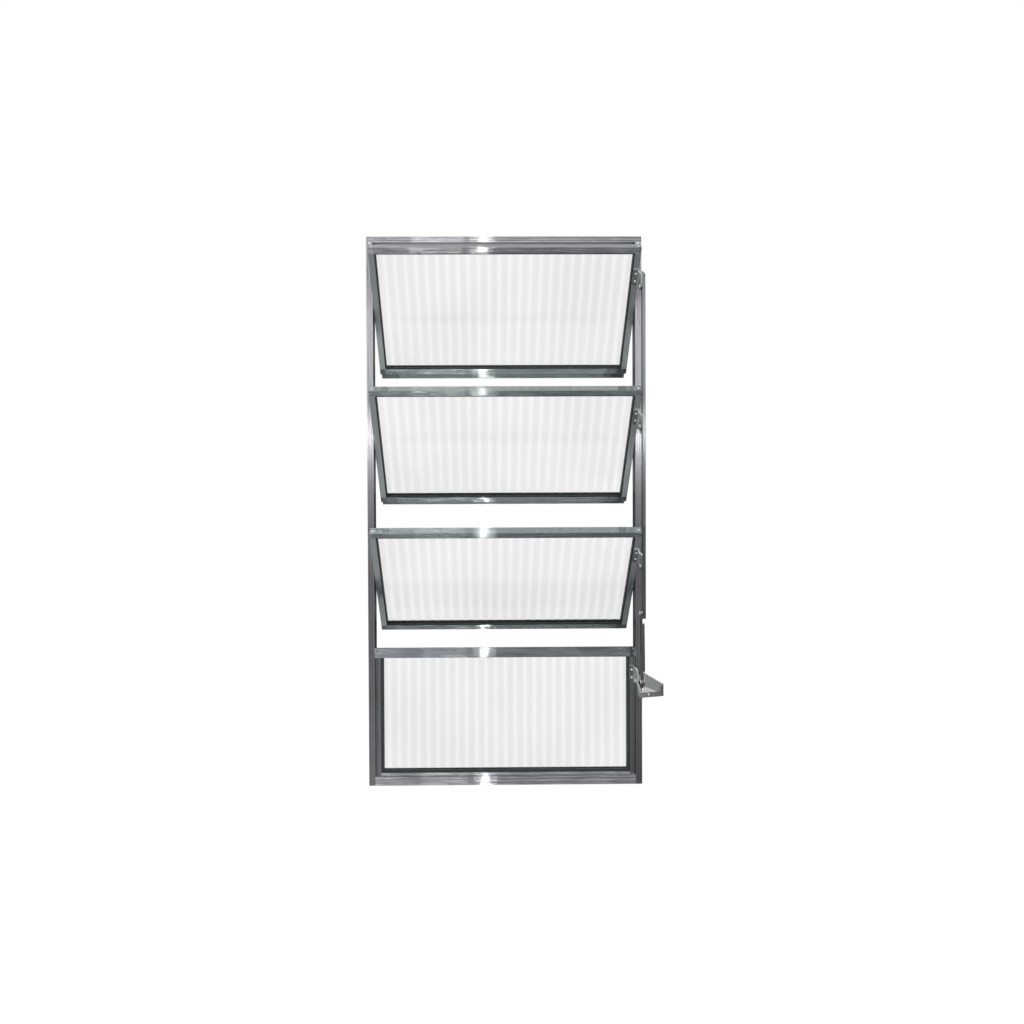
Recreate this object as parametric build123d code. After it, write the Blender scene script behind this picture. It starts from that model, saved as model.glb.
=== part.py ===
from build123d import *
import math
import os

# Pivot window in aluminium: three sashes that pivot at mid height, a fixed light under them,
# and one lever that moves all three through a rod.
# Millimetres, +Z up, X across the window, -Y towards the room.
# Origin: middle of the sill's underside, in the plane of the sash pivots.

# Outer frame
frame_width = 500.0
frame_height = 1000.0
frame_depth = 27.0
jamb_face = 11.5
head_face = 10.5
sill_face = 15.5
frame_wall = 1.4
face_wall = 2.2
face_groove = 0.8
groove_width = 1.8
slot_width = 4.5

# Sashes
sash_count = 3
sash_height = 245.0
sash_gap = 1.5
side_gap = 1.6
bar_face = 10.5
bar_depth = 15.5
bar_wall = 1.4
bar_tube = 4.5
drip_reach = 18.0
drip_wall = 1.3
drip_clearance = 0.35
open_angle = 37.5

# Fixed light and transom
transom_height = 14.4
transom_upstand = 4.0
transom_groove = 7.0
upstand_wall = 2.0
fixed_stile_face = 10.0
fixed_rail_face = 5.5

# Fluted glass and its rubber channel
glass_thickness = 4.0
flute_pitch = 18.0
flute_relief = 1.1
glass_edge_cover = 1.4
gasket_sight = 2.2
fixed_gasket_sight = 4.6
gasket_wall = 1.2
gasket_slack = 0.15

# Sash pivots
pivot_radius = 3.0
pivot_boss = 5.0
washer_radius = 7.0
pivot_reach = 2.5
hole_clearance = 0.1

# Cast arm: a riveted foot, a cranked fin and an eye for the rod
arm_height = 69.5
arm_foot_width = 9.5
arm_foot_length = 30.0
arm_foot_thickness = 2.4
arm_foot_corner = 3.0
arm_edge_inset = 0.5
fin_thickness = 3.0
fin_offset = 4.9
fin_bend_start = 6.3
fin_bend_length = 4.0
fin_crown_radius = 13.5
fin_crown_out = 1.0
fin_crown_up = 1.5
eye_drop = 10.0
eye_reach = 16.25
eye_radius = 6.8

# Rod, link and pins
rod_width = 6.0
rod_depth = 9.0
rod_wall = 1.3
rod_corner = 1.3
rod_above_eye = 25.5
rod_top_cut = 5.5
link_length = 121.5
link_pin_rise = 10.0
link_width = 6.7
link_eye_radius = 6.1
link_end_space = 9.0
link_foot_space = 18.5
layer_gap = 0.3
pin_radius = 2.0
pin_head_radius = 3.1
pin_head_thickness = 1.0

# Lever
lever_below_transom = 31.9
crank_radius = 38.0
crank_closed_angle = 22.0
handle_lead = 8.0
heel_radius = 9.0
crank_eye_radius = 9.0
lever_thickness = 3.0
near_eye_radius = 4.4
near_heel_radius = 4.0
near_heel_out = 8.0
near_heel_down = 11.0
handle_start = 43.0
handle_length = 49.0
handle_splay = 27.0
root_above = 22.2
root_below = 20.5
root_floor = 9.0
root_fold = 19.0
root_lip = 8.6
tip_above = 11.5
tip_below = 9.0
tip_floor = 4.0
tip_fold = 5.0
tip_lip = 8.5
tip_wall = 2.5
tip_shoulder = 3.0
handle_wall = 2.4
fold_wall = 4.0

# Places worked out from the sizes
half_width = frame_width / 2
half_depth = frame_depth / 2
opening_half = half_width - jamb_face
sash_half_width = opening_half - side_gap
sash_half_height = sash_height / 2
sash_half_depth = bar_depth / 2
head_underside = frame_height - head_face
pivot_pitch = sash_height + sash_gap
top_pivot = head_underside - sash_gap - sash_half_height
pivot_heights = [top_pivot - pivot_pitch * n for n in range(sash_count)]
transom_top = pivot_heights[-1] - sash_half_height - sash_gap
transom_bottom = transom_top - transom_height
sash_names = ["upper_sash", "middle_sash", "lower_sash"]

# Layers across the right jamb: arm fins, then the rod
fin_right = sash_half_width - arm_edge_inset + fin_offset
fin_left = fin_right - fin_thickness
rod_left = fin_right + layer_gap
rod_cheek_right = rod_left + rod_wall
lever_right = rod_left + lever_thickness
near_right = fin_left - layer_gap
near_left = near_right - lever_thickness
foot_right = sash_half_width - arm_edge_inset
foot_centre = foot_right - arm_foot_width / 2

# The rod eye of an arm, seen from its sash pivot
eye_up = arm_height - eye_drop
eye_out = sash_half_depth + eye_reach
lever_bracket_height = transom_bottom - lever_below_transom
lever_pivot = (-eye_out, lever_bracket_height - eye_drop)


def slab(x0, x1, y0, y1, z0, z1):
    """A block between two corners."""
    size = Box(x1 - x0, y1 - y0, z1 - z0)
    return Pos((x0 + x1) / 2, (y0 + y1) / 2, (z0 + z1) / 2) * size


def patch(x0, x1, y0, y1):
    """A flat rectangle between two corners."""
    return Pos((x0 + x1) / 2, (y0 + y1) / 2) * Rectangle(x1 - x0, y1 - y0)


def cross_pin(radius, x0, x1, y, z):
    """A round bar that lies along X."""
    return Pos(x0, y, z) * Rot(0, 90, 0) * extrude(Circle(radius), amount=x1 - x0)


def stepped_pin(steps, y, z):
    """A turned piece along X, from its steps of (radius, x0, x1)."""
    points = [(steps[0][1], 0)]
    for radius, x0, x1 in steps:
        points += [(x0, radius), (x1, radius)]
    points.append((steps[-1][2], 0))
    return Pos(0, y, z) * revolve(Polygon(*points, align=None), axis=Axis.X)


def across(bar, outer_height, upwards):
    """Turn an upright bar to lie along X, with its outer side at a height."""
    lying = Pos(half_width, 0, 0) * Rot(0, -90, 0) * bar
    if not upwards:
        lying = mirror(lying, about=Plane.XY)
    return Pos(0, 0, outer_height) * lying


def save(name, shape):
    """Write one piece."""
    shape.label = name
    export_step(shape, os.path.join("parts", name + ".step"))


# Outer frame
def frame_section(face):
    """Open extrusion: outer web at x = 0, grooved room face, slot in the outdoor side."""
    section = patch(0, face, -half_depth, half_depth)
    section -= patch(frame_wall, face - frame_wall, -half_depth + face_wall, half_depth - frame_wall)
    section -= patch((face - slot_width) / 2, (face + slot_width) / 2, 0, half_depth)
    for share in (0.3, 0.7):
        middle = face * share
        section -= patch(middle - groove_width / 2, middle + groove_width / 2,
                         -half_depth, -half_depth + face_groove)
    return section


def frame_bar(face, length):
    return extrude(frame_section(face), amount=length)


def jamb():
    """Left jamb, bored for the sash pivots."""
    bar = Pos(-half_width, 0, sill_face) * frame_bar(jamb_face, head_underside - sill_face)
    for height in pivot_heights:
        bar -= cross_pin(pivot_radius + hole_clearance, -opening_half - frame_wall - 1,
                         -opening_half + 1, 0, height)
    return bar


def transom():
    """Extrusion between the jambs: top chamber, room-side stop, and a glazing groove below."""
    wall = frame_wall
    groove = sash_half_depth - bar_wall
    groove_top = transom_bottom + transom_groove
    back = sash_half_depth
    section = patch(-half_depth, back, transom_bottom, transom_top)
    section += patch(-half_depth, -half_depth + upstand_wall, transom_bottom,
                     transom_top + transom_upstand)
    section -= patch(-half_depth + wall, back - wall, groove_top + wall, transom_top - wall)
    section -= patch(-half_depth + wall, -back, transom_bottom, groove_top)
    section -= patch(-groove, groove, transom_bottom, groove_top)
    upright = Plane(origin=(-opening_half, 0, 0), x_dir=(0, 1, 0), z_dir=(1, 0, 0))
    return extrude(upright * section, amount=2 * opening_half)


# Sash bars
def bar_section(face, tube):
    """Sash extrusion: hollow outer tube, then a channel that takes the glass."""
    inner = sash_half_depth - bar_wall
    section = patch(0, face, -sash_half_depth, sash_half_depth)
    if tube > 0:
        section -= patch(bar_wall, tube, -inner, inner)
    section -= patch(tube + bar_wall, face, -inner, inner)
    return section


def sash_rail(drip):
    """Bottom rail of a sash, with or without its drip lip on the outdoor side."""
    section = bar_section(bar_face, bar_tube)
    if drip:
        lip_in = sash_half_depth + drip_clearance
        lip_out = lip_in + drip_wall
        section += patch(0, 2 * bar_wall, sash_half_depth, lip_out)
        section += patch(-drip_reach, 2 * bar_wall, lip_in, lip_out)
    rail = Pos(sash_half_width, 0, 0) * Rot(0, -90, 0) * extrude(section, amount=2 * sash_half_width)
    return Pos(0, 0, -sash_half_height) * rail


def sash_stile():
    """Left stile, between the rails, with a square hole for its pivot."""
    length = sash_height - 2 * bar_face
    stile = extrude(bar_section(bar_face, bar_tube), amount=length)
    stile = Pos(-sash_half_width, 0, -length / 2) * stile
    hole = pivot_boss / 2 + hole_clearance
    return stile - slab(-sash_half_width - 1, -sash_half_width + bar_wall + 1,
                        -hole, hole, -hole, hole)


# Glazing
def fluted_glass(half_span, low, high):
    """Sheet with upright rounded flutes on its room side."""
    count = max(4, round(2 * half_span / flute_pitch))
    pitch = 2 * half_span / count
    back = glass_thickness / 2
    crest = -glass_thickness / 2
    valley = crest + flute_relief
    edges = []
    for n in range(count):
        left = -half_span + n * pitch
        edges.append(ThreePointArc((left, valley), (left + pitch / 2, crest), (left + pitch, valley)))
    edges.append(Line((half_span, valley), (half_span, back)))
    edges.append(Line((half_span, back), (-half_span, back)))
    edges.append(Line((-half_span, back), (-half_span, valley)))
    sheet = extrude(make_face(Curve() + edges), amount=high - low)
    return Pos(0, 0, low) * sheet


def glass_channel(seat_half, sight_half, seat_low, seat_high, sight_low, sight_high):
    """Rubber channel around a pane: black line at the sight edge, pocket for the glass."""
    lip = sash_half_depth - bar_wall - gasket_slack
    ring = slab(-seat_half, seat_half, -lip, lip, seat_low, seat_high)
    ring -= slab(-sight_half, sight_half, -lip - 1, lip + 1, sight_low, sight_high)
    pocket = glass_thickness / 2
    ring -= slab(-seat_half + gasket_wall, seat_half - gasket_wall, -pocket, pocket,
                 seat_low + gasket_wall, seat_high - gasket_wall)
    return ring


def sash_glazing():
    """Glass and rubber channel of one sash."""
    seat = bar_tube + bar_wall + gasket_slack
    sight = bar_face + gasket_sight
    edge = seat + gasket_wall + gasket_slack
    top = sash_half_height
    rubber = glass_channel(sash_half_width - seat, sash_half_width - sight,
                           seat - top, top - seat, sight - top, top - sight)
    glass = fluted_glass(sash_half_width - edge, edge - top, top - edge)
    return glass, rubber


# Sash hardware
def sash_pivots():
    """At each side a square boss in the stile, a washer in the gap and a round pin in the jamb."""
    inner = sash_half_width - bar_wall - pivot_reach
    outer = opening_half + frame_wall + pivot_reach
    half = pivot_boss / 2
    pivot = slab(inner, sash_half_width, -half, half, -half, half)
    pivot += stepped_pin([(washer_radius, sash_half_width, opening_half),
                          (pivot_radius, opening_half, outer)], 0, 0)
    return Compound(children=[mirror(pivot, about=Plane.YZ), pivot])


def cast_arm():
    """Arm casting: origin in the middle of its foot, on the stile's room face."""
    foot = extrude(RectangleRounded(arm_foot_width, arm_foot_length, arm_foot_corner),
                   amount=arm_foot_thickness)
    foot = Pos(foot_centre, 0, 0) * Rot(90, 0, 0) * foot
    # The fin steps outwards past the jamb: its section across, cut to its outline from the side
    inside = foot_right - fin_thickness
    bend_end = fin_bend_start + fin_bend_length
    mitre = fin_thickness * math.tan(math.atan2(fin_offset, fin_bend_length) / 2)
    tip = eye_reach + eye_radius + 1
    across_fin = Polygon((foot_right, 0), (foot_right, -fin_bend_start), (fin_right, -bend_end),
                         (fin_right, -tip), (fin_left, -tip), (fin_left, -bend_end - mitre),
                         (inside, -fin_bend_start - mitre), (inside, 0), align=None)
    fin = Pos(0, 0, -arm_foot_length) * extrude(across_fin, amount=2 * arm_foot_length, dir=(0, 0, 1))
    crown = Pos(-fin_crown_out, fin_crown_up) * Circle(fin_crown_radius)
    eye = Pos(-eye_reach, -eye_drop) * Circle(eye_radius)
    outline = make_hull(ShapeList(crown.edges() + eye.edges()))
    outline -= patch(0, arm_foot_length, -arm_foot_length, arm_foot_length)
    outline -= Pos(-eye_reach, -eye_drop) * Circle(pin_radius + hole_clearance)
    side = Plane(origin=(inside, 0, 0), x_dir=(0, 1, 0), z_dir=(1, 0, 0))
    return foot + (fin & extrude(side * outline, amount=fin_right - inside))


def headed_pin(left, right, y, z, far_head=True):
    """Rivet pin with a flat head, and a second one unless its far end is peened flush."""
    steps = [(pin_head_radius, left - pin_head_thickness, left), (pin_radius, left, right)]
    if far_head:
        steps.append((pin_head_radius, right, right + pin_head_thickness))
    return stepped_pin(steps, y, z)


# Linkage positions for the chosen opening angle, as (y, z)
def turned(y, z, angle):
    """A point turned about X, with its top moving towards the room."""
    a = math.radians(angle)
    return y * math.cos(a) - z * math.sin(a), y * math.sin(a) + z * math.cos(a)


def rod_eye(pivot_height, angle):
    y, z = turned(-eye_out, eye_up, angle)
    return y, pivot_height + z


def link_drop():
    """Height of the lowest arm's eye over the link pin: the link reaches it with the sashes closed."""
    crank_y, crank_z = turned(0, crank_radius, crank_closed_angle)
    rise = math.sqrt(link_length**2 - crank_y**2)
    return rod_eye(pivot_heights[-1], 0)[1] - (lever_pivot[1] + crank_z + rise)


def link_pin(angle):
    y, z = rod_eye(pivot_heights[-1], angle)
    return y, z - link_drop()


def crank_angle(angle):
    """Angle of the crank from upright, from the triangle of crank, link and pivot line."""
    y, z = link_pin(angle)
    dy = y - lever_pivot[0]
    dz = z - lever_pivot[1]
    span = math.hypot(dy, dz)
    cosine = (crank_radius**2 + span**2 - link_length**2) / (2 * crank_radius * span)
    cosine = max(-1.0, min(1.0, cosine))
    return math.degrees(math.atan2(-dy, dz) + math.acos(cosine))


def channel(width, depth, wall, length):
    """Upright channel, open towards the frame, with rounded room-side corners."""
    section = RectangleRounded(width, depth + 2 * rod_corner, rod_corner)
    section -= patch(-width, width, depth / 2, depth)
    section = Pos(0, rod_corner) * section
    section -= patch(-width, width, depth / 2, 2 * depth)
    section -= patch(-width / 2 + wall, width / 2 - wall, -depth / 2 + wall, 2 * depth)
    return extrude(section, amount=length)


def operating_rod(angle):
    """Channel that ties the three arms together."""
    y, low_eye = rod_eye(pivot_heights[-1], angle)
    high_eye = rod_eye(pivot_heights[0], angle)[1]
    low = low_eye - link_drop() - link_pin_rise
    high = high_eye + rod_above_eye
    rod = Pos(rod_left + rod_width / 2, y, low) * channel(rod_width, rod_depth, rod_wall, high - low)
    cut = math.sqrt(2) * rod_top_cut
    rod -= Pos(rod_left + rod_width, y, high) * Rot(0, 45, 0) * Box(cut, 3 * rod_depth, cut)
    holes = [rod_eye(height, angle) for height in pivot_heights] + [link_pin(angle)]
    for hole_y, hole_z in holes:
        rod -= cross_pin(pin_radius + hole_clearance, rod_left - 1, rod_cheek_right + 1,
                         hole_y, hole_z)
    return rod


def lower_link(angle):
    """Flat cheek with an eye at each end, stiffened to a channel between them."""
    crank = crank_angle(angle)
    top_y, top_z = link_pin(angle)
    dy, dz = turned(0, crank_radius, crank)
    foot_y = lever_pivot[0] + dy
    foot_z = lever_pivot[1] + dz
    bore = pin_radius + hole_clearance
    ends = Circle(link_eye_radius) + Pos(0, link_length) * Circle(link_eye_radius)
    ends += patch(-rod_depth / 2, rod_depth / 2, 0, link_length)
    ends -= Circle(bore) + Pos(0, link_length) * Circle(bore)
    side = Plane(origin=(fin_left, 0, 0), x_dir=(0, 1, 0), z_dir=(1, 0, 0))
    cheek = extrude(side * ends, amount=fin_thickness)
    high = link_length - link_pin_rise - link_end_space
    body = channel(link_width, rod_depth, rod_wall, high - link_foot_space)
    link = cheek + Pos(fin_left + link_width / 2, 0, link_foot_space) * body
    lean = math.degrees(math.atan2(-(top_y - foot_y), top_z - foot_z))
    return Pos(0, foot_y, foot_z) * Rot(lean, 0, 0) * link


def lever(angle):
    """Two cheeks on the pivot, the far one also on the crank pin, run out into a splayed trough."""
    crank_y, crank_z = turned(0, crank_radius, -handle_lead)
    side = Plane(origin=(0, 0, 0), x_dir=(0, 1, 0), z_dir=(1, 0, 0))
    heel = Circle(heel_radius)
    eye = Pos(crank_y, crank_z) * Circle(crank_eye_radius)
    root = patch(root_fold - fold_wall - root_below, root_above, handle_start - 7, handle_start + 1)
    outline = make_hull(ShapeList(heel.edges() + eye.edges() + root.edges()))
    far_cheek = Pos(rod_left, 0, 0) * extrude(side * outline, amount=lever_thickness)
    near_eye = Circle(near_eye_radius)
    near_heel = Pos(-near_heel_down, near_heel_out) * Circle(near_heel_radius)
    near_root = patch(-root_below, root_lip - root_below, handle_start, handle_start + 7)
    outline = make_hull(ShapeList(near_eye.edges() + near_heel.edges() + near_root.edges()))
    near_cheek = Pos(near_left, 0, 0) * extrude(side * outline, amount=lever_thickness)

    def ring(above, below, floor, fold, lip, height):
        inner = handle_wall - floor
        points = [(lever_thickness, fold - fold_wall - below), (lever_thickness, above), (0, above),
                  (0, fold - below), (inner, handle_wall - below), (inner, lip - below),
                  (-floor, lip - below), (-floor, -below), (inner + 1, -below)]
        return Pos(0, 0, height) * Polygon(*points, align=None)

    trough = loft([ring(root_above, root_below, root_floor, root_fold, root_lip, 0),
                   ring(tip_above, tip_below, tip_floor, tip_fold, tip_lip, handle_length)], ruled=True)
    tip = slab(-tip_floor, lever_thickness, -tip_below, tip_above - tip_shoulder,
               handle_length - tip_wall, handle_length)
    trough = Pos(rod_left, 0, handle_start) * Rot(0, handle_splay, 0) * (trough + tip)
    whole = far_cheek + near_cheek + trough
    for hole_y, hole_z in ((0, 0), (crank_y, crank_z)):
        whole -= cross_pin(pin_radius + hole_clearance, near_left - 1, lever_right + 1, hole_y, hole_z)
    return Pos(0, *lever_pivot) * Rot(crank_angle(angle) + handle_lead, 0, 0) * whole


# Fixed light
def fixed_stile():
    bar = extrude(bar_section(fixed_stile_face, fixed_stile_face - bar_face + bar_tube),
                  amount=transom_bottom - sill_face)
    return Pos(-opening_half, 0, sill_face) * bar


def fixed_rail():
    length = 2 * (opening_half - fixed_stile_face)
    bar = extrude(bar_section(fixed_rail_face, 0), amount=length)
    return Pos(length / 2, 0, sill_face) * Rot(0, -90, 0) * bar


def fixed_glazing():
    seat = fixed_stile_face - bar_face + bar_tube + bar_wall + gasket_slack
    seat_half = opening_half - seat
    sight_half = opening_half - fixed_stile_face - fixed_gasket_sight
    low = sill_face + bar_wall + gasket_slack
    high = transom_bottom + transom_groove - gasket_slack
    sight_low = sill_face + fixed_rail_face + fixed_gasket_sight
    sight_high = transom_bottom - glass_edge_cover
    rubber = glass_channel(seat_half, sight_half, low, high, sight_low, sight_high)
    edge = gasket_wall + gasket_slack
    glass = fluted_glass(seat_half - edge, low + edge, high - edge)
    return glass, rubber


def build():
    os.makedirs("parts", exist_ok=True)
    left_jamb = jamb()
    save("left_jamb", left_jamb)
    save("right_jamb", mirror(left_jamb, about=Plane.YZ))
    save("sill", across(frame_bar(sill_face, frame_width), 0, True))
    save("head", across(frame_bar(head_face, frame_width), frame_height, False))
    save("transom", transom())

    left_stile = sash_stile()
    glass, rubber = sash_glazing()
    arm = cast_arm()
    sash_pieces = {
        "top_rail": mirror(sash_rail(False), about=Plane.XY),
        "bottom_rail": sash_rail(True),
        "left_stile": left_stile,
        "right_stile": mirror(left_stile, about=Plane.YZ),
        "glass": glass,
        "gasket": rubber,
        "arm": Pos(0, -sash_half_depth, arm_height) * arm,
        "pivots": sash_pivots(),
    }
    for sash, height in zip(sash_names, pivot_heights):
        for piece, shape in sash_pieces.items():
            save(sash + "_" + piece, Pos(0, 0, height) * Rot(open_angle, 0, 0) * shape)

    stile = fixed_stile()
    save("fixed_light_left_stile", stile)
    save("fixed_light_right_stile", mirror(stile, about=Plane.YZ))
    save("fixed_light_bottom_rail", fixed_rail())
    fixed_glass, fixed_rubber = fixed_glazing()
    save("fixed_light_glass", fixed_glass)
    save("fixed_light_gasket", fixed_rubber)

    save("operating_rod", operating_rod(open_angle))
    eyes = [rod_eye(height, open_angle) for height in pivot_heights] + [link_pin(open_angle)]
    save("rod_pins", Compound(children=[
        headed_pin(fin_left, rod_cheek_right, y, z, far_head=False) for y, z in eyes]))
    save("lower_link", lower_link(open_angle))
    save("lever_bracket", Pos(0, -sash_half_depth, lever_bracket_height) * arm)
    save("lever", lever(open_angle))
    dy, dz = turned(0, crank_radius, crank_angle(open_angle))
    save("lever_pins", Compound(children=[
        headed_pin(near_left, lever_right, *lever_pivot),
        headed_pin(fin_left, lever_right, lever_pivot[0] + dy, lever_pivot[1] + dz),
    ]))


build()
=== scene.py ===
import bmesh
import bpy
import math
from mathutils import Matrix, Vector


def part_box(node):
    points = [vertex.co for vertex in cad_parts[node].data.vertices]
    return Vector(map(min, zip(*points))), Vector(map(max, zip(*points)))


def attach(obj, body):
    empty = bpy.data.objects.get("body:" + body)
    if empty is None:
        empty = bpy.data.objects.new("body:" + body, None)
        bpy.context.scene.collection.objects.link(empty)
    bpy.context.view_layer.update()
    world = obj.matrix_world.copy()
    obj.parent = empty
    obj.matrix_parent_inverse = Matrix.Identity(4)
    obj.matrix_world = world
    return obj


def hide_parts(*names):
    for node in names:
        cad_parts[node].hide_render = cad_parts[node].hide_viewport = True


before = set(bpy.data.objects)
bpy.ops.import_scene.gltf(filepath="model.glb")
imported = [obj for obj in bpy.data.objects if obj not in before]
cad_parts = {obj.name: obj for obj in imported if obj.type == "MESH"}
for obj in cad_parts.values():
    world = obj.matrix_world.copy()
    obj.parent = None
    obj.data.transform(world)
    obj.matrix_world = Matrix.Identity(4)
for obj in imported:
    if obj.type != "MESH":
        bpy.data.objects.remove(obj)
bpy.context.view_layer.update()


# Camera
# It stands in the room at mid height of the window, a little left of its middle, and looks
# almost straight at it.
camera_place = (-0.03246, -1.35987, 0.54038)
camera_pitch = -0.709
camera_yaw = -0.500
camera_roll = 0.232
camera_shift = (0.0181, -0.0128)
level = 90
focal_length = 25.98
sensor_width = 36.0
nearest_seen = 0.01

lens = bpy.data.cameras.new("camera")
lens.lens = focal_length
lens.sensor_width = sensor_width
lens.clip_start = nearest_seen
lens.shift_x, lens.shift_y = camera_shift
camera = bpy.data.objects.new("camera", lens)
camera.location = camera_place
camera_turns = (level + camera_pitch, camera_roll, camera_yaw)
camera.rotation_euler = [math.radians(angle) for angle in camera_turns]
bpy.context.collection.objects.link(camera)
bpy.context.scene.camera = camera
bpy.context.scene.view_settings.view_transform = "Standard"


# Daylight, floor and lamps
# A white studio: the sky and the floor are white where they are seen, also through the glass.
# What the metal mirrors is darker: the room towards the floor, and the floor towards the right.
# The lamps are a soft one, a camera's flash with its halo, and one at the side.
daylight_on_surfaces = 0.62
daylight_seen = 1.0
room_mirrored = (0.38, 1.0)
outdoors_mirrored = (0.20, 0.64)
horizon_blur = (-0.06, 0.22)
room_to_outdoors = (-0.35, 0.25)
white = (1, 1, 1, 1)


def feed(tree, node, inputs):
    """Set a node's inputs, each to a plain value or by a link from a socket."""
    for key, value in inputs.items():
        if isinstance(value, bpy.types.NodeSocket):
            tree.links.new(value, node.inputs[key])
        else:
            node.inputs[key].default_value = value


def add_node(tree, kind, inputs=None, **settings):
    """A shader or geometry node with its settings and inputs."""
    node = tree.nodes.new(kind)
    for key, value in settings.items():
        setattr(node, key, value)
    feed(tree, node, inputs or {})
    return node


def ray_kinds(tree):
    """The kinds of ray: seen by the camera, come through the glass, or mirrored by a surface."""
    path = add_node(tree, "ShaderNodeLightPath").outputs
    mirrored = add_node(tree, "ShaderNodeMath", {
        0: path["Is Glossy Ray"], 1: path["Is Transmission Ray"]},
        operation="SUBTRACT", use_clamp=True)
    return path["Is Camera Ray"], path["Is Transmission Ray"], mirrored.outputs[0]


def axes_of(tree, vector):
    """The X, Y and Z sockets of a vector."""
    return add_node(tree, "ShaderNodeSeparateXYZ", {0: vector}).outputs


def spread(tree, value, known=(0.0, 1.0), wanted=(0.0, 1.0)):
    """A value taken from its known range to the range that is wanted, and held inside it."""
    return add_node(tree, "ShaderNodeMapRange", {
        "Value": value, "From Min": known[0], "From Max": known[1],
        "To Min": wanted[0], "To Max": wanted[1]}).outputs[0]


def mix(tree, share, first, second, kind="FLOAT"):
    """Two numbers or colours mixed, each a plain one or a socket."""
    return add_node(tree, "ShaderNodeMix", {"Factor": share, "A": first, "B": second},
                    data_type=kind).outputs["Result"]


sky = bpy.data.worlds.new("white_studio")
bpy.context.scene.world = sky
sky.use_nodes = True
tree = sky.node_tree
tree.nodes.clear()
by_camera, by_glass, by_metal = ray_kinds(tree)
towards = axes_of(tree, add_node(tree, "ShaderNodeTexCoord").outputs["Generated"])
outdoors = spread(tree, towards["Y"], room_to_outdoors)
mirrored = mix(tree, outdoors, spread(tree, towards["Z"], horizon_blur, room_mirrored),
               spread(tree, towards["Z"], horizon_blur, outdoors_mirrored))
strength = mix(tree, by_camera, daylight_on_surfaces, daylight_seen)
strength = mix(tree, by_glass, strength, daylight_seen)
strength = mix(tree, by_metal, strength, mirrored)
background = add_node(tree, "ShaderNodeBackground", {"Color": white, "Strength": strength})
add_node(tree, "ShaderNodeOutputWorld", {"Surface": background.outputs[0]})

floor_size = 12.0
floor_white = (0.80, 0.80, 0.80, 1)
floor_glow = 1.35
floor_glow_share = 0.62
floor_mirrored = (0.40, 0.19)
floor_fade = (-0.25, 0.20)

floor_mesh = bpy.data.meshes.new("floor")
corner = floor_size / 2
floor_mesh.from_pydata([(-corner, -corner, 0), (corner, -corner, 0), (corner, corner, 0),
                        (-corner, corner, 0)], [], [(0, 1, 2, 3)])
floor = bpy.data.objects.new("floor", floor_mesh)
bpy.context.collection.objects.link(floor)
paint = bpy.data.materials.new("floor_paint")
paint.use_nodes = True
tree = paint.node_tree
tree.nodes.clear()
by_camera, by_glass, by_metal = ray_kinds(tree)
spot = axes_of(tree, add_node(tree, "ShaderNodeTexCoord").outputs["Object"])
strength = mix(tree, by_glass, floor_glow, daylight_seen)
strength = mix(tree, by_metal, strength, spread(tree, spot["X"], floor_fade, floor_mirrored))
share = mix(tree, by_camera, 0.0, floor_glow_share)
share = mix(tree, by_glass, share, 1.0)
share = mix(tree, by_metal, share, 1.0)
lit = add_node(tree, "ShaderNodeBsdfDiffuse", {"Color": floor_white})
glow = add_node(tree, "ShaderNodeEmission", {"Strength": strength})
surface = add_node(tree, "ShaderNodeMixShader", {0: share, 1: lit.outputs[0], 2: glow.outputs[0]})
add_node(tree, "ShaderNodeOutputMaterial", {"Surface": surface.outputs[0]})
floor_mesh.materials.append(paint)

window_middle = Vector((0, 0, 0.5))
soft_lamp_place = (-1.3, -2.2, 2.6)
flash_place = (-0.0456, -1.40, 0.742)
halo_place = (-0.0456, -1.41, 0.742)
side_lamp_place = (-0.21, -1.45, 1.10)


def add_lamp(name, place, width, height, watts):
    """A soft rectangular lamp that faces the window's middle."""
    lamp = bpy.data.lights.new(name, "AREA")
    lamp.shape = "RECTANGLE"
    lamp.size = width
    lamp.size_y = height
    lamp.energy = watts
    fixture = bpy.data.objects.new(name, lamp)
    fixture.location = place
    fixture.rotation_euler = (window_middle - Vector(place)).to_track_quat("-Z", "Y").to_euler()
    bpy.context.collection.objects.link(fixture)
    return fixture


lamps = [
    add_lamp("soft_lamp", soft_lamp_place, width=1.6, height=1.2, watts=16.0),
    add_lamp("flash", flash_place, width=0.022, height=0.02, watts=2.4),
    add_lamp("flash_halo", halo_place, width=0.09, height=0.03, watts=0.6),
    add_lamp("side_lamp", side_lamp_place, width=0.19, height=0.25, watts=1.1)]


# Outer frame
# Open aluminium extrusions, left natural: two jambs between a head and a sill, and a transom
# over the fixed light. They are sawn to length and screwed at the corners.
# Painted light and shade: each bar gets its own pair of tones, set to how bright it shows where it
# stands, lighter on the head and darker on the transom.
head_painted_light_tones = (0.450, 0.450, 0.468, 1), (0.620, 0.620, 0.645, 1)
sill_tones = (0.375, 0.375, 0.390, 1), (0.515, 0.515, 0.535, 1)
transom_painted_shade_tones = (0.225, 0.240, 0.256, 1), (0.320, 0.340, 0.362, 1)
upright_tones = (0.430, 0.430, 0.446, 1), (0.590, 0.590, 0.610, 1)
inner_side_painted_shade = (0.110, 0.110, 0.115, 1)
inner_side_reach = (-0.12, -0.20)
lying_roughness = (0.06, 0.09)
upright_roughness = (0.32, 0.38)
lying_slope = 1.35
upright_slope = 0.9
draw_line_scale = 9000.0
draw_line_stretch = 500.0
cloud_scale = 9.0
cloud_share = 0.45
sawn_edge = 0.0008
edge_samples = 4
# Noise seldom leaves the middle of its range, so only that part is spread over a finish.
tone_reach = (0.35, 0.65)
gloss_reach = (0.3, 0.7)
line_reach = (0.25, 0.75)


def new_finish(name):
    """A material with nodes, its tree and its shader."""
    finish = bpy.data.materials.new(name)
    finish.use_nodes = True
    return finish, finish.node_tree, finish.node_tree.nodes["Principled BSDF"]


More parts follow.
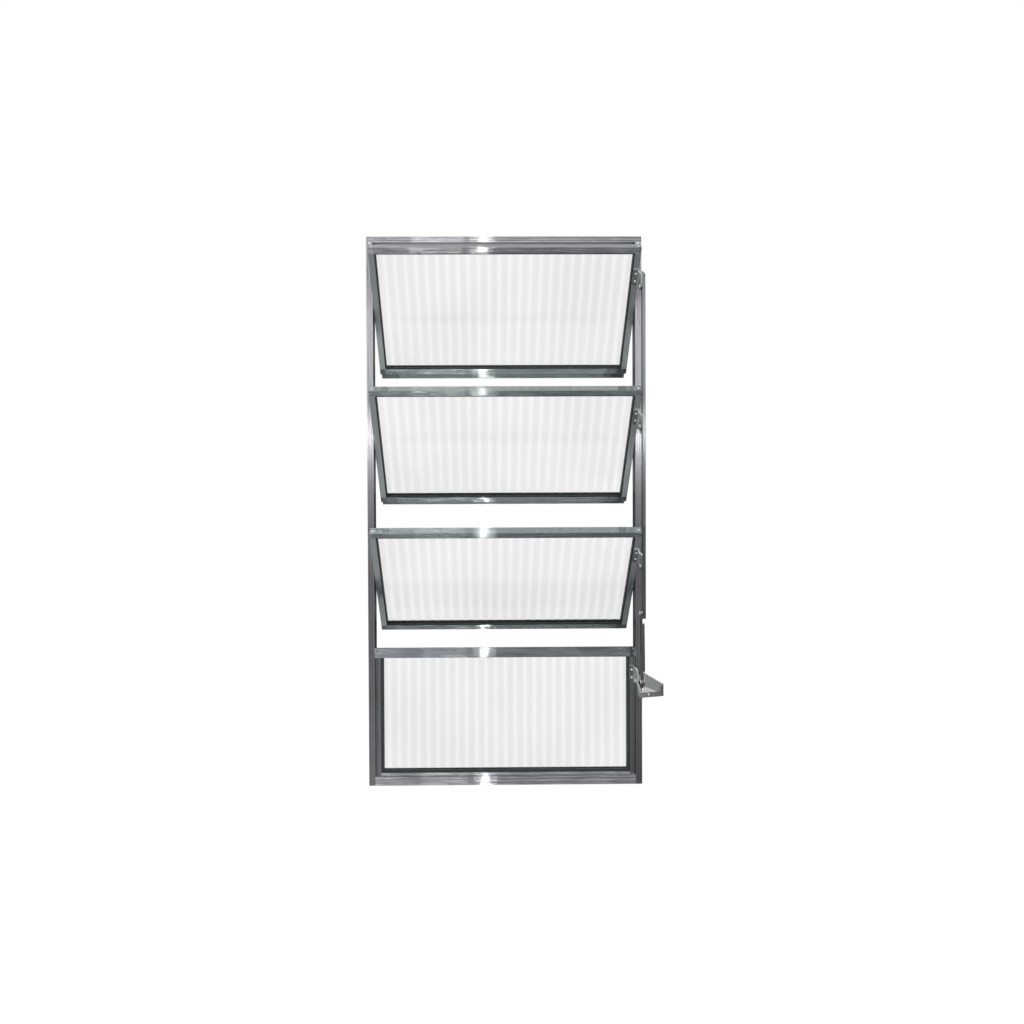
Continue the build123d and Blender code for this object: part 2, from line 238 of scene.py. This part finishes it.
def noise(tree, place, scale, detail, roughness=0.5):
    """A soft irregular pattern, the same on each run."""
    return add_node(tree, "ShaderNodeTexNoise", {
        "Vector": place, "Scale": scale, "Detail": detail, "Roughness": roughness}).outputs[0]


def vector_step(tree, operation, inputs):
    """One step of arithmetic on vectors."""
    return add_node(tree, "ShaderNodeVectorMath", inputs, operation=operation).outputs[0]


def extruded_aluminium(name, along, roughness, slope, tones, tilt=0.0):
    """Natural extruded aluminium: draw lines along the bar, soft edges, painted shade on inner side
    faces.
    """
    metal, tree, shader = new_finish(name)
    place = add_node(tree, "ShaderNodeTexCoord").outputs
    stretch = [1.0, 1.0, 1.0]
    stretch["XYZ".index(along)] = draw_line_stretch
    drawn = add_node(tree, "ShaderNodeMapping", {
        "Vector": place["Object"], "Rotation": (tilt, 0, 0), "Scale": stretch},
        vector_type="TEXTURE")
    lines = noise(tree, drawn.outputs[0], draw_line_scale, detail=1.0)
    clouds = noise(tree, place["Object"], cloud_scale, detail=4.0, roughness=0.55)
    tone = spread(tree, mix(tree, cloud_share, lines, clouds), tone_reach)
    colour = mix(tree, tone, *tones, kind="RGBA")

    # Painted shade: on a side face that looks inwards, place times direction is negative along X,
    # and there the colour turns dark.
    inward = vector_step(tree, "MULTIPLY", {0: place["Object"], 1: place["Normal"]})
    inner_side = spread(tree, axes_of(tree, inward)["X"], inner_side_reach)

    # The normal leans across the bar line by line, which draws a lamp out into a narrow band.
    soft = add_node(tree, "ShaderNodeBevel", {"Radius": sawn_edge}, samples=edge_samples).outputs[0]
    bar = (1, 0, 0) if along == "X" else (0, -math.sin(tilt), math.cos(tilt))
    across = vector_step(tree, "CROSS_PRODUCT", {0: soft, 1: bar})
    lean = spread(tree, lines, line_reach, (-slope, slope))
    groove = vector_step(tree, "SCALE", {0: across, "Scale": lean})
    leaning = vector_step(tree, "ADD", {0: soft, 1: groove})
    feed(tree, shader, {
        "Base Color": mix(tree, inner_side, colour, inner_side_painted_shade, "RGBA"),
        "Metallic": 1.0,
        "Anisotropic": 1.0,
        "Roughness": spread(tree, clouds, gloss_reach, roughness),
        "Tangent": across,
        "Normal": vector_step(tree, "NORMALIZE", {0: leaning})})
    return metal


def finish_nodes(metal, *names):
    """Give carried-over pieces their finish."""
    for name in names:
        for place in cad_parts[name].material_slots:
            place.material = metal


lying_bars = {}
for name, tones in (("head", head_painted_light_tones), ("sill", sill_tones), ("transom", transom_painted_shade_tones)):
    lying_bars[name] = extruded_aluminium("aluminium_" + name, "X", lying_roughness, lying_slope,
                                          tones)
    finish_nodes(lying_bars[name], name)
upright_bar = extruded_aluminium("aluminium_upright_bar", "Z", upright_roughness, upright_slope,
                                 upright_tones)
finish_nodes(lying_bars["sill"], "fixed_light_bottom_rail")
finish_nodes(upright_bar, "left_jamb", "right_jamb", "fixed_light_left_stile",
             "fixed_light_right_stile")

same_corner = 0.00001
same_cut = 0.0001
x_axis, z_axis = 0, 2


def resaw(name, axis, ends, metal):
    """A bar with its sawn ends moved along it, shown in place of the carried-over one."""
    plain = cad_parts[name]
    bar = bmesh.new()
    bar.from_mesh(plain.data)
    bar.transform(plain.matrix_world)
    bmesh.ops.remove_doubles(bar, verts=bar.verts, dist=same_corner)
    for corner in bar.verts:
        for end, moved in ends:
            if abs(corner.co[axis] - end) < same_cut:
                corner.co[axis] = moved
    mesh = bpy.data.meshes.new(name + "_sawn")
    bar.to_mesh(mesh)
    bar.free()
    mesh.materials.append(metal)
    piece = bpy.data.objects.new(name + "_sawn", mesh)
    bpy.context.collection.objects.link(piece)
    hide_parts(name)
    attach(piece, "root")


# The jambs run down to the floor, and the sill ends between them.
sill_low, sill_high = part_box("sill")
for name in ("left_jamb", "right_jamb"):
    resaw(name, z_axis, [(sill_high.z, sill_low.z)], upright_bar)
resaw("sill", x_axis, [(sill_low.x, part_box("left_jamb")[1].x),
                       (sill_high.x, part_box("right_jamb")[0].x)], lying_bars["sill"])


# Sash frames
# Each sash is four hollow aluminium extrusions: stiles between a top and a bottom rail. They
# stand open, all at one angle, with the top in the room.
sash_names = ("upper_sash", "middle_sash", "lower_sash")
rail_slope = 1.6
rail_tones = (0.300, 0.345, 0.343, 1), (0.425, 0.480, 0.476, 1)
# Painted light: the stiles' tones sit well above the rails', to make up for the dark floor that
# their tilted faces mirror.
stile_painted_light_tones = (0.580, 0.620, 0.625, 1), (0.790, 0.840, 0.845, 1)


def middle_of(node):
    """The middle of a carried-over piece's box."""
    low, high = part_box(node)
    return (low + high) / 2


pivot = middle_of("upper_sash_pivots")
top_rail = middle_of("upper_sash_top_rail")
open_angle = math.atan2(pivot.y - top_rail.y, top_rail.z - pivot.z)
sash_rail = extruded_aluminium("aluminium_sash_rail", "X", lying_roughness, rail_slope, rail_tones)
sash_stile = extruded_aluminium("aluminium_sash_stile", "Z", upright_roughness, upright_slope,
                                stile_painted_light_tones, open_angle)
for sash in sash_names:
    finish_nodes(sash_rail, sash + "_top_rail", sash + "_bottom_rail")
    finish_nodes(sash_stile, sash + "_left_stile", sash + "_right_stile")
# Painted light: the upper sash's top rail takes the sill's lighter tones.
finish_nodes(lying_bars["sill"], "upper_sash_top_rail")


# Glazing rubber
# A black rubber channel is pushed on the edge of each pane before the bars close round it. Only
# its lip shows.
rubber_black = (0.018, 0.026, 0.026, 1)
rubber_bloom = (0.040, 0.052, 0.050, 1)


def mottled(name, dark, light, scale, roughness, bump, distance, metallic=0.0, edge=0.0003):
    """A plain moulded or cast finish: two close tones in a soft grain."""
    stuff, tree, shader = new_finish(name)
    place = add_node(tree, "ShaderNodeTexCoord").outputs
    grain = noise(tree, place["Object"], scale, detail=5.0, roughness=0.6)
    soft = add_node(tree, "ShaderNodeBevel", {"Radius": edge}, samples=edge_samples)
    relief = add_node(tree, "ShaderNodeBump", {
        "Strength": bump, "Distance": distance, "Height": grain, "Normal": soft.outputs[0]})
    feed(tree, shader, {
        "Base Color": mix(tree, spread(tree, grain, tone_reach), dark, light, "RGBA"),
        "Metallic": metallic,
        "Roughness": spread(tree, grain, gloss_reach, roughness),
        "Normal": relief.outputs[0]})
    return stuff


rubber = mottled("glazing_rubber", rubber_black, rubber_bloom, scale=260.0,
                 roughness=(0.45, 0.65), bump=0.2, distance=0.0001)
finish_nodes(rubber, "fixed_light_gasket", *[sash + "_gasket" for sash in sash_names])


# Fluted glass
# Rolled glass, 4 mm thick, with upright rounded flutes on its room side and a flat back. It
# hides what is behind it, but not the daylight.
glass_thickness = 0.004
flute_pitch = 0.018
flute_relief = 0.0011
fewest_flutes = 4
steps_per_flute = 18
# Painted shade: the glass goes from clear to grey over each flute, along the roller waves and in
# soft clouds, in place of the streaks its flutes make.
glass_clear = (0.985, 0.985, 0.985, 1)
glass_painted_shade = (0.81, 0.81, 0.81, 1)
glass_bending = 1.5
glass_roughness = (0.04, 0.12)
roller_wave_scale = 160.0
roller_wave_share = 0.3
roller_wave_draw = (1.0, 0.12, 0.12)
roller_wave_bump = 0.15
roller_wave_depth = 0.0002
glass_cloud_scale = 5.0
glass_shade_cloud = 0.16


def step(tree, operation, *values):
    """One step of arithmetic between sockets or plain numbers."""
    return add_node(tree, "ShaderNodeMath", dict(enumerate(values)), operation=operation).outputs[0]


def fluted_pane_tree():
    """A flat sheet whose room face is pressed into rounded flutes, stood at its tilt and place."""
    tree = bpy.data.node_groups.new("fluted_pane", "GeometryNodeTree")
    sockets = [("Width", "NodeSocketFloat"), ("Height", "NodeSocketFloat"),
               ("Thickness", "NodeSocketFloat"), ("Relief", "NodeSocketFloat"),
               ("Flutes", "NodeSocketInt"), ("Steps", "NodeSocketInt"), ("Tilt", "NodeSocketFloat"),
               ("Centre", "NodeSocketVector"), ("Glass", "NodeSocketMaterial")]
    for label, kind in sockets:
        tree.interface.new_socket(label, in_out="INPUT", socket_type=kind)
    tree.interface.new_socket("Geometry", in_out="OUTPUT", socket_type="NodeSocketGeometry")
    given = tree.nodes.new("NodeGroupInput").outputs
    size = add_node(tree, "ShaderNodeCombineXYZ", {
        "X": given["Width"], "Y": given["Thickness"], "Z": given["Height"]})
    columns = step(tree, "MULTIPLY", given["Flutes"], given["Steps"])
    sheet = add_node(tree, "GeometryNodeMeshCube", {
        "Size": size.outputs[0], "Vertices X": step(tree, "ADD", columns, 1), "Vertices Y": 2,
        "Vertices Z": 2})

    # Over each flute the bow goes from 1 at its edge through 0 at its crown to 1 again.
    place = axes_of(tree, add_node(tree, "GeometryNodeInputPosition").outputs[0])
    share = step(tree, "ADD", step(tree, "DIVIDE", place["X"], given["Width"]), 0.5)
    turns = step(tree, "FRACT", step(tree, "MULTIPLY", share, given["Flutes"]))
    off_crown = step(tree, "SUBTRACT", step(tree, "MULTIPLY", turns, 2), 1)
    bow = step(tree, "POWER", step(tree, "ABSOLUTE", off_crown), 2)
    in_room = step(tree, "LESS_THAN", place["Y"], 0)
    press = step(tree, "MULTIPLY", step(tree, "MULTIPLY", bow, given["Relief"]), in_room)
    push = add_node(tree, "ShaderNodeCombineXYZ", {"Y": press})
    noted = add_node(tree, "GeometryNodeStoreNamedAttribute", {
        "Geometry": sheet.outputs["Mesh"], "Name": "flute_depth", "Value": bow},
        data_type="FLOAT", domain="POINT")
    pressed = add_node(tree, "GeometryNodeSetPosition", {
        "Geometry": noted.outputs[0], "Offset": push.outputs[0]})
    flat = add_node(tree, "GeometryNodeSetShadeSmooth", {
        "Geometry": pressed.outputs[0], "Shade Smooth": False}, domain="FACE")
    lean = add_node(tree, "ShaderNodeCombineXYZ", {"X": given["Tilt"]})
    stood = add_node(tree, "GeometryNodeTransform", {
        "Geometry": flat.outputs[0], "Rotation": lean.outputs[0], "Translation": given["Centre"]})
    real = add_node(tree, "GeometryNodeRealizeInstances", {0: stood.outputs[0]})
    glazed = add_node(tree, "GeometryNodeSetMaterial", {
        "Geometry": real.outputs[0], "Material": given["Glass"]})
    add_node(tree, "NodeGroupOutput", {"Geometry": glazed.outputs[0]})
    return tree


def grow(name, tree, sizes, start=None):
    """Run a node tree with the given inputs and keep its result as a plain mesh object."""
    shape = start or bpy.data.meshes.new(name)
    piece = bpy.data.objects.new(name, shape)
    bpy.context.collection.objects.link(piece)
    builder = piece.modifiers.new("build", "NODES")
    builder.node_group = tree
    for item in tree.interface.items_tree:
        if item.in_out == "INPUT" and item.name in sizes:
            builder[item.identifier] = sizes[item.name]
    bpy.context.view_layer.update()
    grown = piece.evaluated_get(bpy.context.evaluated_depsgraph_get())
    mesh = bpy.data.meshes.new_from_object(grown)
    piece.modifiers.remove(builder)
    piece.data = mesh
    mesh.name = name
    return piece


def rolled_glass():
    """Clear glass with painted shade: greyer over each flute's thick crown, along the roller waves
    and in soft clouds.
    """
    glass, tree, shader = new_finish("rolled_glass")
    place = add_node(tree, "ShaderNodeTexCoord").outputs
    depth = add_node(tree, "ShaderNodeAttribute", attribute_name="flute_depth")
    drawn = add_node(tree, "ShaderNodeMapping", {
        "Vector": place["Object"], "Scale": roller_wave_draw})
    waves = noise(tree, drawn.outputs[0], roller_wave_scale, detail=2.0)
    clouds = noise(tree, place["Object"], glass_cloud_scale, detail=1.0)
    tone = step(tree, "ADD", mix(tree, roller_wave_share, depth.outputs["Fac"], waves),
                spread(tree, clouds, tone_reach, (-glass_shade_cloud, glass_shade_cloud)))
    relief = add_node(tree, "ShaderNodeBump", {
        "Strength": roller_wave_bump, "Distance": roller_wave_depth, "Height": waves})
    feed(tree, shader, {
        "Base Color": mix(tree, tone, glass_painted_shade, glass_clear, "RGBA"),
        "Transmission Weight": 1.0,
        "IOR": glass_bending,
        "Roughness": spread(tree, waves, wanted=glass_roughness),
        "Normal": relief.outputs[0]})
    return glass


glass = rolled_glass()
pane_tree = fluted_pane_tree()
panes = [(sash, open_angle) for sash in sash_names] + [("fixed_light", 0.0)]
by_daylight_only = bpy.data.collections.new("glass_lit_by_daylight_only")
for light, tilt in panes:
    low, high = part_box(light + "_glass")
    wide, deep, tall = high - low
    # The box of a leaning pane gives the pane's own height.
    reach = math.cos(tilt) * tall - math.sin(tilt) * deep
    pane = grow(light + "_fluted_pane", pane_tree, {
        "Width": wide, "Height": reach / math.cos(2 * tilt), "Thickness": glass_thickness,
        "Relief": flute_relief, "Flutes": max(fewest_flutes, round(wide / flute_pitch)),
        "Steps": steps_per_flute, "Tilt": tilt, "Centre": (low + high) / 2, "Glass": glass})
    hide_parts(light + "_glass")
    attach(pane, "root")
    by_daylight_only.objects.link(pane)

# The lamps pass the panes by, so that none of them glares in a flute.
for entry in by_daylight_only.collection_objects:
    entry.light_linking.link_state = "EXCLUDE"
for fixture in lamps:
    fixture.light_linking.receiver_collection = by_daylight_only


# Sash pivots
# Moulded black nylon: a washer that keeps the sash off the jamb, a round pin in the jamb and a
# square boss in the stile.
nylon_black = (0.030, 0.031, 0.032, 1)
nylon_grey = (0.055, 0.056, 0.058, 1)
nylon = mottled("pivot_nylon", nylon_black, nylon_grey, scale=400.0, roughness=(0.38, 0.5),
                bump=0.15, distance=0.00008)
finish_nodes(nylon, *[sash + "_pivots" for sash in sash_names])


# Arms, bracket and lever
# Aluminium castings, tumbled smooth and left bare. An arm is riveted on each sash, the bracket
# on the fixed stile, and the lever turns on the bracket. Their upper faces are painted light, their
# flanks painted shade.
cast_dark = (0.44, 0.465, 0.46, 1)
cast_light = (0.52, 0.55, 0.545, 1)
flank_painted_shade = (0.325, 0.345, 0.34, 1)
lever_top_painted_light = (0.84, 0.81, 0.81, 1)
casting_top_painted_light = (0.50, 0.495, 0.495, 1)
painted_light_metallic = 0.25
flank_turn = (0.6, 0.85)
upward_turn = (0.15, 0.38)


def tumbled_casting(name, top_painted_light):
    """Cast metal with painted shade on its flanks and painted light, less metallic, on the faces
    that turn up.
    """
    metal = mottled(name, cast_dark, cast_light, scale=120.0, roughness=(0.22, 0.26), bump=0.02,
                    distance=0.0001, metallic=1.0, edge=0.0009)
    tree = metal.node_tree
    shader = tree.nodes["Principled BSDF"]
    cast = shader.inputs["Base Color"].links[0].from_socket
    facing = axes_of(tree, add_node(tree, "ShaderNodeTexCoord").outputs["Normal"])
    # Painted shade on faces that turn sideways, painted light on faces that turn up.
    flank = spread(tree, step(tree, "ABSOLUTE", facing["X"]), flank_turn)
    upward = spread(tree, facing["Z"], upward_turn)
    shaded = mix(tree, flank, cast, flank_painted_shade, "RGBA")
    feed(tree, shader, {
        "Base Color": mix(tree, upward, shaded, top_painted_light, "RGBA"),
        "Metallic": spread(tree, upward, wanted=(1.0, painted_light_metallic))})
    return metal


finish_nodes(tumbled_casting("cast_lever", lever_top_painted_light), "lever")
finish_nodes(tumbled_casting("cast_aluminium", casting_top_painted_light), "lever_bracket",
             *[sash + "_arm" for sash in sash_names])


# Rod, link and their pins
# The rod and the link are small aluminium channels. Bright aluminium pins with flat heads hold
# them to the arms and to the lever.
rod_tones = (0.240, 0.245, 0.250, 1), (0.330, 0.337, 0.343, 1)
# The pins and the domed heads are near-white and hardly metallic: bright aluminium, with painted
# highlight in place of their glints.
rivet_glint_grey = (0.80, 0.81, 0.82, 1)
rivet_glint_white = (0.92, 0.92, 0.93, 1)
rod_metal = extruded_aluminium("aluminium_rod", "Z", upright_roughness, upright_slope, rod_tones)
finish_nodes(rod_metal, "operating_rod", "lower_link")
bright = mottled("bright_rivet", rivet_glint_grey, rivet_glint_white, scale=500.0, roughness=(0.16, 0.3),
                 bump=0.2, distance=0.00005, metallic=0.2)
finish_nodes(bright, "rod_pins", "lever_pins")


# Rivets and screws
# Domed blind rivets, two on each casting's foot and one in the lever's lip, and pan-head screws
# where the bars meet. Each has a small mark in its middle, from the mandrel or the driver.
rivet_radius = 0.0023
rivet_height = 0.0013
rivet_spacing = 0.014
screw_radius = 0.0024
screw_height = 0.0012
pit_radius = 0.0005
pit_depth = 0.0004
head_sides = 24
head_rings = 7
dome_curve = 2.4
dome_share = 0.72
zinc_dark = (0.20, 0.205, 0.21, 1)
zinc_light = (0.30, 0.305, 0.31, 1)
zinc = mottled("dull_zinc_screw", zinc_dark, zinc_light, scale=500.0, roughness=(0.3, 0.45),
               bump=0.2, distance=0.00005, metallic=1.0)


def domed_head_tree():
    """A low dome with a pit, put on each point of a mesh along its 'out' direction."""
    tree = bpy.data.node_groups.new("domed_heads", "GeometryNodeTree")
    tree.interface.new_socket("Geometry", in_out="INPUT", socket_type="NodeSocketGeometry")
    for label in ("Radius", "Height", "Pit Radius", "Pit Depth"):
        tree.interface.new_socket(label, in_out="INPUT", socket_type="NodeSocketFloat")
    tree.interface.new_socket("Metal", in_out="INPUT", socket_type="NodeSocketMaterial")
    tree.interface.new_socket("Geometry", in_out="OUTPUT", socket_type="NodeSocketGeometry")
    given = tree.nodes.new("NodeGroupInput").outputs
    disc = add_node(tree, "GeometryNodeMeshCylinder", {
        "Vertices": head_sides, "Side Segments": 1, "Fill Segments": head_rings,
        "Radius": given["Radius"], "Depth": given["Height"]}, fill_type="TRIANGLE_FAN")

    # The top falls away towards the rim, and once more inside the pit.
    place = axes_of(tree, add_node(tree, "GeometryNodeInputPosition").outputs[0])
    out = step(tree, "SQRT", step(tree, "ADD", step(tree, "POWER", place["X"], 2),
                                  step(tree, "POWER", place["Y"], 2)))
    share = step(tree, "MINIMUM", step(tree, "DIVIDE", out, given["Radius"]), 1)
    fall = step(tree, "MULTIPLY", step(tree, "POWER", share, dome_curve),
                step(tree, "MULTIPLY", given["Height"], dome_share))
    in_pit = step(tree, "LESS_THAN", out, given["Pit Radius"])
    drop = step(tree, "ADD", fall, step(tree, "MULTIPLY", in_pit, given["Pit Depth"]))
    on_top = step(tree, "GREATER_THAN", place["Z"], 0)
    move = add_node(tree, "ShaderNodeCombineXYZ", {
        "Z": step(tree, "MULTIPLY", step(tree, "MULTIPLY", drop, on_top), -1)})
    domed = add_node(tree, "GeometryNodeSetPosition", {
        "Geometry": disc.outputs["Mesh"], "Offset": move.outputs[0]})
    smooth = add_node(tree, "GeometryNodeSetShadeSmooth", {
        "Geometry": domed.outputs[0], "Shade Smooth": disc.outputs["Top"]}, domain="FACE")
    outward = add_node(tree, "GeometryNodeInputNamedAttribute", {"Name": "out"},
                       data_type="FLOAT_VECTOR")
    turn = add_node(tree, "FunctionNodeAlignRotationToVector", {
        "Vector": outward.outputs["Attribute"]}, axis="Z")
    points = add_node(tree, "GeometryNodeMeshToPoints", {"Mesh": given["Geometry"]})
    heads = add_node(tree, "GeometryNodeInstanceOnPoints", {
        "Points": points.outputs[0], "Instance": smooth.outputs[0], "Rotation": turn.outputs[0]})
    real = add_node(tree, "GeometryNodeRealizeInstances", {0: heads.outputs[0]})
    finish = add_node(tree, "GeometryNodeSetMaterial", {
        "Geometry": real.outputs[0], "Material": given["Metal"]})
    add_node(tree, "NodeGroupOutput", {"Geometry": finish.outputs[0]})
    return tree


head_tree = domed_head_tree()


def heads_on(name, places, radius, height, metal=bright):
    """One mesh of domed heads, each at a place and facing a direction."""
    seats = bpy.data.meshes.new(name + "_seats")
    seats.from_pydata([place for place, out in places], [], [])
    outward = seats.attributes.new("out", "FLOAT_VECTOR", "POINT")
    for point, (place, out) in zip(outward.data, places):
        point.vector = out
    heads = grow(name, head_tree, {"Radius": radius, "Height": height, "Pit Radius": pit_radius,
                                   "Pit Depth": pit_depth, "Metal": metal}, seats)
    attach(heads, "root")


room = Vector((0, -1, 0))
sash_out = Vector((0, -math.cos(open_angle), -math.sin(open_angle)))
sash_up = Vector((0, -math.sin(open_angle), math.cos(open_angle)))
sash_depth = 0.0155
sash_height = 0.245
stile_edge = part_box("upper_sash_top_rail")[1].x
foot_thickness = 0.0024
foot_width = 0.0095
foot_inset = 0.0005
foot_middle = stile_edge - foot_inset - foot_width / 2
arm_height = 0.0695
bracket_drop = 0.015
lip_rivet_place = (0.2454, -0.0895, 0.1858)
rivet_rises = (-rivet_spacing / 2, rivet_spacing / 2)

rivets = []
for sash in sash_names:
    hub = middle_of(sash + "_pivots")
    foot = Vector((foot_middle, hub.y, hub.z)) + sash_up * arm_height
    foot += sash_out * (sash_depth / 2 + foot_thickness)
    rivets += [(foot + sash_up * rise, sash_out) for rise in rivet_rises]
bracket_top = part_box("lever_bracket")[1]
rivets += [(Vector((foot_middle, bracket_top.y - foot_thickness,
                    bracket_top.z - bracket_drop + rise)), room) for rise in rivet_rises]
seat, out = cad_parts["lever"].closest_point_on_mesh(lip_rivet_place)[1:3]
rivets.append((seat, out))
heads_on("casting_rivets", rivets, rivet_radius, rivet_height)

corner_screw_from_end = 0.005
screws = []
for sash in sash_names:
    hub = middle_of(sash + "_pivots")
    for side in (-1, 1):
        end = Vector((side * (stile_edge - corner_screw_from_end), hub.y, hub.z))
        screws.append((end + sash_up * sash_height / 2, sash_up))
        screws.append((end - sash_up * sash_height / 2, -sash_up))
heads_on("sash_corner_screws", screws, screw_radius, screw_height)

head_screw_from_end = 0.0062
head_screw_from_top = 0.0122
head_low, head_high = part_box("head")
screws = [(Vector((side * (head_high.x - head_screw_from_end), head_low.y,
                   head_high.z - head_screw_from_top)), room) for side in (-1, 1)]
heads_on("head_corner_screws", screws, screw_radius, screw_height)

transom_screw_from_top = 0.0045
inner_screw_from_end = 0.029
transom_low, transom_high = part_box("transom")
screws = [(Vector((x, transom_low.y, transom_high.z - transom_screw_from_top)), room)
          for x in (transom_low.x + corner_screw_from_end, transom_high.x - inner_screw_from_end,
                    transom_high.x - corner_screw_from_end)]
heads_on("transom_screws", screws, screw_radius, screw_height, zinc)
